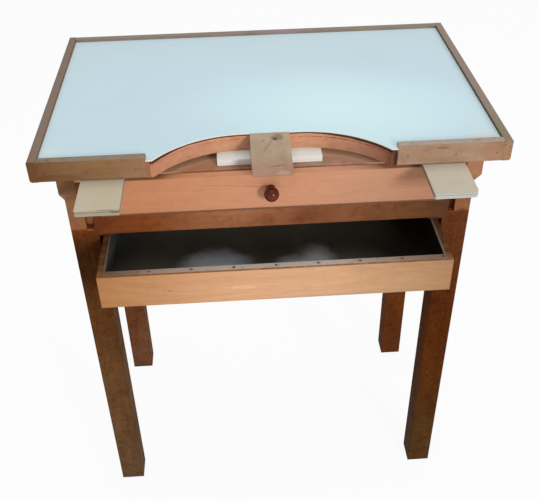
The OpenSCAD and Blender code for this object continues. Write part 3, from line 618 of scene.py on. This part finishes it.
# Legs: brown on the left, redder on the right, lighter and dustier towards the feet, with painted light in the
# recesses at their tops
LEG_FIRST_SEED = 31
LEG_TONES = {
    # front_left_leg: darker from 640 to 735 mm, partly painted shade under the tray, and pale at the top as painted
    # light
    "front_left_leg": ("Z", [(0, (108, 82, 58)), (100, (106, 78, 54)), (290, (105, 75, 47)), (520, (96, 62, 34)),
                             (640, (78, 46, 22)), (735, (76, 43, 21)), (764, (112, 60, 28)),
                             (790, (170, 104, 60))]),
    "front_right_leg": ("Z", [(0, (86, 61, 33)), (100, (84, 57, 29)), (290, (83, 45, 13)), (520, (84, 39, 8)),
                              (660, (90, 50, 24)), (800, (106, 60, 34))]),
    "back_left_leg": ("Z", [(0, (110, 74, 54)), (200, (116, 73, 46)), (420, (124, 71, 37)), (800, (104, 60, 34))]),
    "back_right_leg": ("Z", [(0, (106, 57, 28)), (200, (109, 59, 24)), (420, (108, 52, 17)), (800, (90, 44, 20))]),
}
# Painted light on the shoulders and tongues of the front legs, in the shaded recesses beside the side boards
LEG_PAINTED_LIGHT = {"front_left_leg": [(at(-350, 70, 772, 14, 16, 7), (172, 100, 56), 0.9),
                               (at(-352, 77, 784, 8, 6, 18), (230, 176, 128), 0.95)],
            "front_right_leg": [(at(350, 72, 772, 12, 16, 5), (164, 84, 50), 0.9),
                                (at(353, 77, 784, 8, 6, 18), (134, 86, 54), 0.95)]}


# Marks on the legs: a tint that multiplies their colour, and the colours of scuffs and of chips
FINE_MOTTLE = (0.72, 0.68, 0.62)
SCUFF = (134, 92, 52)
CHIP = (160, 126, 92)


def scuffed(s, colour):
    """Old stain on a leg: fine mottles all over, and pale scuffs and specks that grow denser towards the foot."""
    fine = s.noise(s.moved(s.where, scale=(1.0, 1.0, 0.5)), 210.0, 5.0, 0.7)
    colour = s.darken(s.step(fine, 0.5, 0.68), colour, FINE_MOTTLE)
    colour = s.mix(s.times(s.off(fine, 0.3, 0.44), 0.22), colour, srgb(*SCUFF))
    low = s.total(0.25, (s.off(s.height(), 20.0, 110.0), 0.0, 0.6))
    chips = s.step(s.noise(s.where, 420.0, 3.0, 0.7), 0.62, 0.7)
    return s.mix(s.times(chips, low), colour, srgb(*CHIP))


for k, (node, tones) in enumerate(LEG_TONES.items()):
    dress(node, wood("wood_" + node, tones, "Z", LEG_FIRST_SEED + k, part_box(node), figure=0.8, lines=0.6,
                     mottle=0.7, blotch=((66, 36, 14), 0.35), pores=0.5, specks=0.12, grime=0.5, wear=0.4,
                     rough=0.6, gloss=0.01, dabs=LEG_PAINTED_LIGHT.get(node, ()), extra=scuffed), bevel=0.0012)

# Side boards, with painted light on their inner faces in the recesses, and the board between the back legs
BOARDS = {
    "left_side_board": dict(
        axis="Y", seed=41,
        base=("Z", [(772, (146, 93, 62)), (835, (142, 104, 72)), (862, (134, 96, 62)), (920, (126, 91, 58))]),
        # light painted on the inner face, where the recess beside the leg is in shade
        dabs=[(at(-357, 70, 786, 3, 20, 26), (176, 104, 60), 0.9),
              (at(-356.5, 60, 880, 2, 60, 60), (196, 146, 100), 0.9)]),
    "right_side_board": dict(
        axis="Y", seed=42,
        base=("Z", [(772, (140, 92, 60)), (835, (142, 96, 64)), (870, (162, 116, 84)), (920, (166, 118, 90))]),
        # light painted on the inner face, in the recess beside the leg
        dabs=[(at(357, 72, 786, 3, 20, 26), (170, 88, 52), 0.9),
              (at(374, 61, 773, 16, 4, 8, soft=0.8, rag=0.3), (106, 58, 32), 0.8)]),
    "back_board": dict(axis="X", seed=43, base=(140, 98, 68)),
}
for node, look in BOARDS.items():
    dress(node, wood("wood_" + node, box=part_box(node), mottle=0.4, grime=0.3, **look), bevel=0.0008)

# Drawer
DRAWER_TONES = ("X", [(-317, (190, 130, 92)), (-200, (194, 134, 98)), (-60, (200, 143, 110)),
                      (90, (198, 143, 113)), (200, (187, 139, 111)), (317, (174, 122, 94))])
PAINTED_LIGHT_UNDER_LIPS = (220, 172, 134)


def drawer_edges(s, colour):
    """The drawer front's foot is dark, and its top edge is painted pale under the inner ends of the lips, as light in
    their shade.
    """
    colour = dirt_and_shade_line("Z", 800, 836.6, 0.7)(s, colour)
    side = s.absolute(s.across())
    ends = s.times(s.step(side, 200.0, 235.0), s.off(side, 250.0, 300.0))
    return s.mix(s.times(s.times(ends, s.up()), 0.45), colour, srgb(*PAINTED_LIGHT_UNDER_LIPS))


dress("drawer_front", wood("wood_drawer_front", DRAWER_TONES, "X", 57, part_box("drawer_front"), figure=0.3,
                           lines=0.15, mottle=0.12, pores=0.2, grime=0.08, wear=0.1, rough=0.42, bump=0.18,
                           coat=0.12, extra=drawer_edges), bevel=0.0008)
for node, axis, seed in (("left_drawer_side", "Y", 52), ("right_drawer_side", "Y", 53), ("drawer_back", "X", 54)):
    dress(node, wood("wood_" + node, (186, 148, 108), axis, seed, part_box(node), mottle=0.2, grime=0.2, rough=0.55),
          bevel=0.0005)
dress("drawer_bottom", plywood("board_drawer_bottom", (196, 172, 136), "X", 5))

# Tray: a pale front with two small cracks and a pale fleck, darker sides and back
TRAY_TONES = ("X", [(-328, (172, 121, 78)), (-255, (181, 132, 90)), (-100, (209, 160, 122)), (80, (206, 162, 127)),
                    (245, (179, 140, 104)), (328, (164, 124, 90))])
TRAY_DABS = [(at(-196.5, -66, 713, 6.5, 3, 0.9, rag=1.4), (72, 44, 28), 0.9),
             (at(-238, -66, 716, 1.2, 3, 1.2, rag=0.5), (90, 52, 30), 0.9),
             (at(-60, -66, 712, 30, 4, 5, rag=1.6, scale=60.0), (226, 190, 150), 0.5),
             (at(110, -66, 681, 240, 4, 6, soft=0.8), (172, 140, 118), 0.5)]
dress("tray_front", wood("wood_tray_front", TRAY_TONES, "X", 61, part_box("tray_front"), figure=0.45, mottle=0.15,
                         pores=0.2, grime=0.1, wear=0.2, rough=0.46, bump=0.22, dabs=TRAY_DABS,
                         top=((140, 92, 54), 0.9)), bevel=0.0010)
# Stripes on the tray sides: a dark and a pale one take up this many metres
STRIPE_PAIR = 0.0042
DARK_STRIPE = (70, 44, 26)
PALE_STRIPE = (176, 132, 78)


def joint_stripes(s, colour):
    """End grain of the dovetails, seen as stripes on the front ends of the tray sides."""
    x = s.total(s.xyz()[0], (s.noise(s.where, 90.0, 3.0), 0.5, 0.002))
    wave = s.math("SINE", s.times(x, 2 * math.pi / STRIPE_PAIR))
    near = s.times(s.off(s.behind(), -52.0, -38.0), s.up())
    stripes = s.mix(s.step(wave, -0.5, 0.5), srgb(*DARK_STRIPE), srgb(*PALE_STRIPE))
    return s.mix(s.times(near, 0.85), colour, stripes)


for node, axis, seed, marks in (("left_tray_side", "Y", 62, joint_stripes),
                                ("right_tray_side", "Y", 63, joint_stripes), ("tray_back", "X", 64, None)):
    dress(node, wood("wood_" + node, (150, 104, 70), axis, seed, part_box(node), mottle=0.4, grime=0.3,
                     top=((84, 58, 40), 0.9), extra=marks), bevel=0.0007)
dress("tray_bottom", plywood("board_tray_bottom", (170, 140, 104), "X", 6))

# Liner: dark sheet steel with paler patches and painted reflections of light on its floor, and a bright worn flange
LINER_TONES = ("X", [(-315, (76, 77, 75)), (-150, (76, 75, 70)), (60, (78, 76, 70)), (250, (52, 49, 42)),
                     (315, (40, 37, 31))])
LINER_PATCHES_AND_REFLECTIONS = [
    (at(-250, 30, 695, 120, 90, 40, soft=1.0, rag=0.4), (112, 106, 92), 0.85),
    (at(140, 14, 695, 110, 70, 6, soft=1.0, rag=0.4), (124, 120, 104), 0.6),
    # painted reflections: bright bluish patches on the floor
    (at(-114, 26, 695, 88, 62, 6, soft=0.7, rag=0.5, scale=26.0), (208, 216, 222), 0.95),
    (at(50, 10, 695, 66, 46, 6, soft=0.8, rag=0.5, scale=26.0), (208, 216, 222), 0.9),
    (at(86, 28, 695, 48, 60, 6, soft=0.8, rag=0.5, scale=26.0), (212, 218, 222), 0.95),
    (at(-311, 40, 720, 5, 120, 30, soft=0.5, rag=0.2), (84, 92, 98), 0.8),
]
FLANGE_TONES = ("X", [(-317, (132, 110, 88)), (-262, (156, 136, 118)), (-235, (172, 154, 140)),
                      (-90, (192, 183, 172)), (85, (200, 193, 187)), (200, (176, 158, 142)),
                      (317, (150, 131, 115))])


# The liner is bright over this stretch of height; its edges are dulled in places, and rubbed bright in others
BRIGHT_Z = (751.6, 752.0)
DULLED = (104, 84, 70)
RUBBED_STEEL = (206, 200, 192)


def liner_edges(s, colour):
    """The flange and the turned edges are bright and worn, the rest of the liner is dark."""
    edge = s.step(s.height(), *BRIGHT_Z)
    worn = s.noise(s.where, 120.0, 5.0, 0.7)
    pale = s.mix(s.times(s.step(worn, 0.5, 0.7), 0.45), s.ground(FLANGE_TONES), srgb(*DULLED))
    pale = s.mix(s.times(s.step(worn, 0.32, 0.2), 0.6), pale, srgb(*RUBBED_STEEL))
    return s.mix(edge, colour, pale)


dress("tray_liner", metal("metal_tray_liner", LINER_TONES, 1, rough=0.42, metallic=0.2, rust=0.05, contrast=0.35,
                          dabs=LINER_PATCHES_AND_REFLECTIONS, extra=liner_edges))
dress("tray_tacks", metal("metal_tray_tacks", (116, 98, 84), 2, rough=0.45, metallic=0.5, rust=0.4))

# Armrests, with a dark scribble on the left one's front edge and painted shade on the right one's left side, and the
# cleat under the pin
ARM_STAIN = ((172, 158, 132), 0.25)
LEFT_ARM_DABS = [(at(-268, -94, 915, 14, 6, 3, rag=2.0, scale=400.0), (64, 68, 54), 0.55),
                 (at(-282, -94, 918.5, 22, 2, 2, rag=1.5, scale=300.0), (120, 116, 96), 0.6)]
RIGHT_ARM_SHADE = [(at(267, -40, 913, 3, 90, 4.6, soft=0.2, rag=0.2), (162, 114, 80), 0.85)]
BOARDS_OF_PLY = {
    "left_armrest": dict(axis="Y", seed=71, base=(200, 189, 167), edge=(166, 156, 136), stain=ARM_STAIN,
                         glue=[(915.4, 0.9, 0.75), (911.6, 0.5, 0.25)], dabs=LEFT_ARM_DABS),
    "right_armrest": dict(axis="Y", seed=72, base=(200, 191, 175), edge=(184, 184, 180), stain=ARM_STAIN,
                          glue=[(915.0, 0.8, 0.6), (911.5, 0.5, 0.2)], dabs=RIGHT_ARM_SHADE),
    "pin_cleat": dict(axis="X", seed=73, base=(228, 230, 226), edge=(236, 238, 233),
                      stain=((202, 200, 186), 0.25), glue=[(912, 0.5, 0.2), (916, 0.5, 0.2)]),
}
for node, look in BOARDS_OF_PLY.items():
    dress(node, plywood("board_" + node, box=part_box(node), **look), bevel=0.0006 if node == "pin_cleat" else 0.0007)

# Bench pin, with a knot, saw marks and a bruised nose
PIN_TONES = ("Y", [(-16, (164, 132, 112)), (20, (170, 148, 126)), (79, (172, 154, 134))])
PIN_DABS = [(at(12, 66, 951, 13, 11, 8, rag=2.0, scale=160.0), (104, 92, 80), 0.6),
            (at(-6, 44, 947, 4, 22, 9, turn=0.5, rag=1.2), (124, 106, 86), 0.4),
            (at(-14, 58, 951, 3, 3, 6, rag=0.8), (110, 92, 76), 0.6),
            (at(-26, 40, 945, 8, 40, 12), (166, 142, 112), 0.4),
            (at(8, -8, 936, 16, 1.6, 6, turn=-0.12, rag=1.2), (92, 72, 58), 0.75),
            (at(18, -16, 926, 14, 4, 6), (182, 150, 140), 0.6)]
dress("bench_pin", wood("wood_bench_pin", PIN_TONES, "Y", 74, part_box("bench_pin"), figure=0.4, lines=0.3,
                        mottle=0.25, pores=0.2, wear=0.2, rough=0.6, dabs=PIN_DABS), bevel=0.0007)

# Fastenings
NAIL_STEEL = metal("metal_nails", (58, 44, 36), 3, rough=0.55, metallic=0.4, rust=0.5)
SCREW_STEEL = metal("metal_screws", (120, 112, 104), 4, rough=0.4, metallic=0.8, rust=0.3)
dress("rim_nails", NAIL_STEEL)
for node in ("pin_screw", "side_board_screws", "back_board_screws", "runner_screws", "knob_screw"):
    dress(node, SCREW_STEEL)
dress("rail_dowels", wood("wood_rail_dowels", (198, 166, 126), "Y", 75, rough=0.6))

# Turned knob, in place of the plain CAD knob: a foot with a bead, a waisted neck and a ball. Metres, but for
# KNOB_SHARE, which is its size as a share of the CAD knob's.
KNOB_SHARE = 0.92
NECK_R = 0.0066
FOOT_PROFILE = [(0.0, 0.0), (0.0078, 0.0), (0.0082, 0.0006), (0.0082, 0.0017), (0.0078, 0.0023),
                (0.0070, 0.0028), (0.0063, 0.0038), (0.0060, 0.0050)]
BALL_STEPS = 24
TURN_STEPS = 64


def lathe(bm, profile, matrix, steps):
    """Turns a profile of (radius, height) points round the local Z of a matrix."""
    rings = []
    for r, h in profile:
        count = steps if r > 1e-7 else 1
        turns = [2 * math.pi * k / steps for k in range(count)]
        rings.append([bm.verts.new(matrix @ Vector((r * math.cos(t), r * math.sin(t), h))) for t in turns])
    for a, b in zip(rings, rings[1:]):
        for k in range(steps):
            j = (k + 1) % steps
            loop = [a[k % len(a)], b[k % len(b)], b[j % len(b)], a[j % len(a)]]
            bm.faces.new(list(dict.fromkeys(loop)))


def knob_profile(ball_r, middle):
    """The foot and the neck, and on them a ball of a radius whose middle is at a height."""
    profile = list(FOOT_PROFILE)
    start = math.asin(NECK_R / ball_r)
    for k in range(BALL_STEPS):
        turn = start + (math.pi - start) * k / BALL_STEPS
        profile.append((ball_r * math.sin(turn), middle - ball_r * math.cos(turn)))
    return profile + [(0.0, middle + ball_r)]


def add_mesh(name, bm, material, smooth=False):
    """Makes an object of a bmesh and gives it its material."""
    mesh = bpy.data.meshes.new(name)
    bm.to_mesh(mesh)
    bm.free()
    for p in mesh.polygons:
        p.use_smooth = smooth
    mesh.materials.append(material)
    o = bpy.data.objects.new(name, mesh)
    bpy.context.scene.collection.objects.link(o)
    return o


KNOB_WOOD = wood("wood_knob", (96, 37, 17), "Y", 81, lines=0.6, mottle=0.5, grime=0.2, rough=0.25, bump=0.08,
                 coat=0.22)


def turned_knob():
    """The knob, with its foot on the drawer front where the CAD knob has it, and its axis to the front."""
    lo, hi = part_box("drawer_knob")
    ball_r = (hi.x - lo.x) / 2 * KNOB_SHARE
    middle = (hi.y - lo.y) * KNOB_SHARE - ball_r
    foot = Matrix.Translation(((lo.x + hi.x) / 2, hi.y, (lo.z + hi.z) / 2))
    bm = bmesh.new()
    lathe(bm, knob_profile(ball_r, middle), foot @ Matrix.Rotation(math.pi / 2, 4, "X"), TURN_STEPS)
    bmesh.ops.recalc_face_normals(bm, faces=bm.faces)
    return add_mesh("turned_knob", bm, KNOB_WOOD, smooth=True)


knob = turned_knob()
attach(knob, "drawer")
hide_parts("drawer_knob")

# Floor: white to the camera and in reflections, but for the shadow on it
FLOOR_HALF = 14.0
FLOOR_SHADE = (246, 246, 245)
FLOOR_GLOW = 0.93  # share of plain white in what the camera sees
WHITE = (1.0, 1.0, 1.0, 1.0)


def floor_material():
    """A pale matt floor that glows white to camera, glossy and transmission rays only."""
    s = Shader("floor_white")
    s.finish(srgb(*FLOOR_SHADE), 0.9)
    path = s.new("ShaderNodeLightPath")
    glow = s.new("ShaderNodeEmission")
    glow.inputs[0].default_value = WHITE
    blend = s.new("ShaderNodeMixShader")
    mirrored = s.math("MAXIMUM", path.outputs["Is Glossy Ray"], path.outputs["Is Transmission Ray"])
    seen = s.math("MAXIMUM", path.outputs["Is Camera Ray"], mirrored)
    s.put(s.times(seen, FLOOR_GLOW), blend.inputs[0])
    s.put(s.bsdf.outputs[0], blend.inputs[1])
    s.put(glow.outputs[0], blend.inputs[2])
    s.put(blend.outputs[0], s.out.inputs[0])
    return s.mat


bm = bmesh.new()
bmesh.ops.create_grid(bm, x_segments=1, y_segments=1, size=FLOOR_HALF)
floor = add_mesh("floor", bm, floor_material())

# World: white to the camera, a soft even light on the object
SKY_COLOUR = (0.97, 0.985, 1.0, 1.0)
SKY_STRENGTH = 0.5


def set_world():
    """Plain white for camera rays, and the sky for all others."""
    world = bpy.data.worlds.new("studio")
    bpy.context.scene.world = world
    world.use_nodes = True
    tree = world.node_tree
    tree.nodes.clear()
    out = tree.nodes.new("ShaderNodeOutputWorld")
    back = tree.nodes.new("ShaderNodeBackground")
    back.inputs[0].default_value = WHITE
    sky = tree.nodes.new("ShaderNodeBackground")
    sky.inputs[0].default_value = SKY_COLOUR
    sky.inputs[1].default_value = SKY_STRENGTH
    path = tree.nodes.new("ShaderNodeLightPath")
    mixer = tree.nodes.new("ShaderNodeMixShader")
    tree.links.new(path.outputs["Is Camera Ray"], mixer.inputs[0])
    tree.links.new(sky.outputs[0], mixer.inputs[1])
    tree.links.new(back.outputs[0], mixer.inputs[2])
    tree.links.new(mixer.outputs[0], out.inputs[0])


set_world()


def area(name, spot, target, size, watts, colour=(1.0, 1.0, 1.0)):
    """A square area lamp at a spot, facing a target."""
    data = bpy.data.lights.new(name, "AREA")
    data.shape = "SQUARE"
    data.size = size
    data.energy = watts
    data.color = colour
    o = bpy.data.objects.new(name, data)
    o.location = spot
    o.rotation_euler = (Vector(target) - Vector(spot)).to_track_quat("-Z", "Y").to_euler()
    bpy.context.scene.collection.objects.link(o)


# Lamps: a far one, low on the right, for the short soft shadows of the photo, and a wide weak one overhead
area("key", (2.53, -5.38, 2.5), (0.0, -0.2, 0.85), size=1.2, watts=188.0, colour=(1.0, 0.985, 0.965))
area("top", (0.0, 0.3, 3.2), (0.0, 0.0, 0.9), size=2.4, watts=27.0)

# Camera: fitted to the outline of the top and to the feet
CAMERA_SPOT = (-0.06715, -1.4091, 1.6558)
YAW, PITCH, ROLL = math.radians(2.81), math.radians(37.55), math.radians(-1.24)
FOCAL_PX, WIDTH_PX = 785.6, 539
SENSOR_WIDTH = 36.0


def set_camera():
    """Puts the camera before the bench, looking to its back and down by yaw, pitch and roll."""
    forward = Vector((math.sin(YAW) * math.cos(PITCH), math.cos(YAW) * math.cos(PITCH), -math.sin(PITCH)))
    right = Vector((math.cos(YAW), -math.sin(YAW), 0.0))
    up = right.cross(forward)
    right, up = (math.cos(ROLL) * right + math.sin(ROLL) * up, -math.sin(ROLL) * right + math.cos(ROLL) * up)
    data = bpy.data.cameras.new("camera")
    data.sensor_fit = "HORIZONTAL"
    data.sensor_width = SENSOR_WIDTH
    data.lens = FOCAL_PX / WIDTH_PX * SENSOR_WIDTH
    cam = bpy.data.objects.new("camera", data)
    cam.matrix_world = Matrix.Translation(CAMERA_SPOT) @ Matrix((right, up, -forward)).transposed().to_4x4()
    bpy.context.scene.collection.objects.link(cam)
    bpy.context.scene.camera = cam


set_camera()
bpy.context.scene.view_settings.view_transform = "Standard"
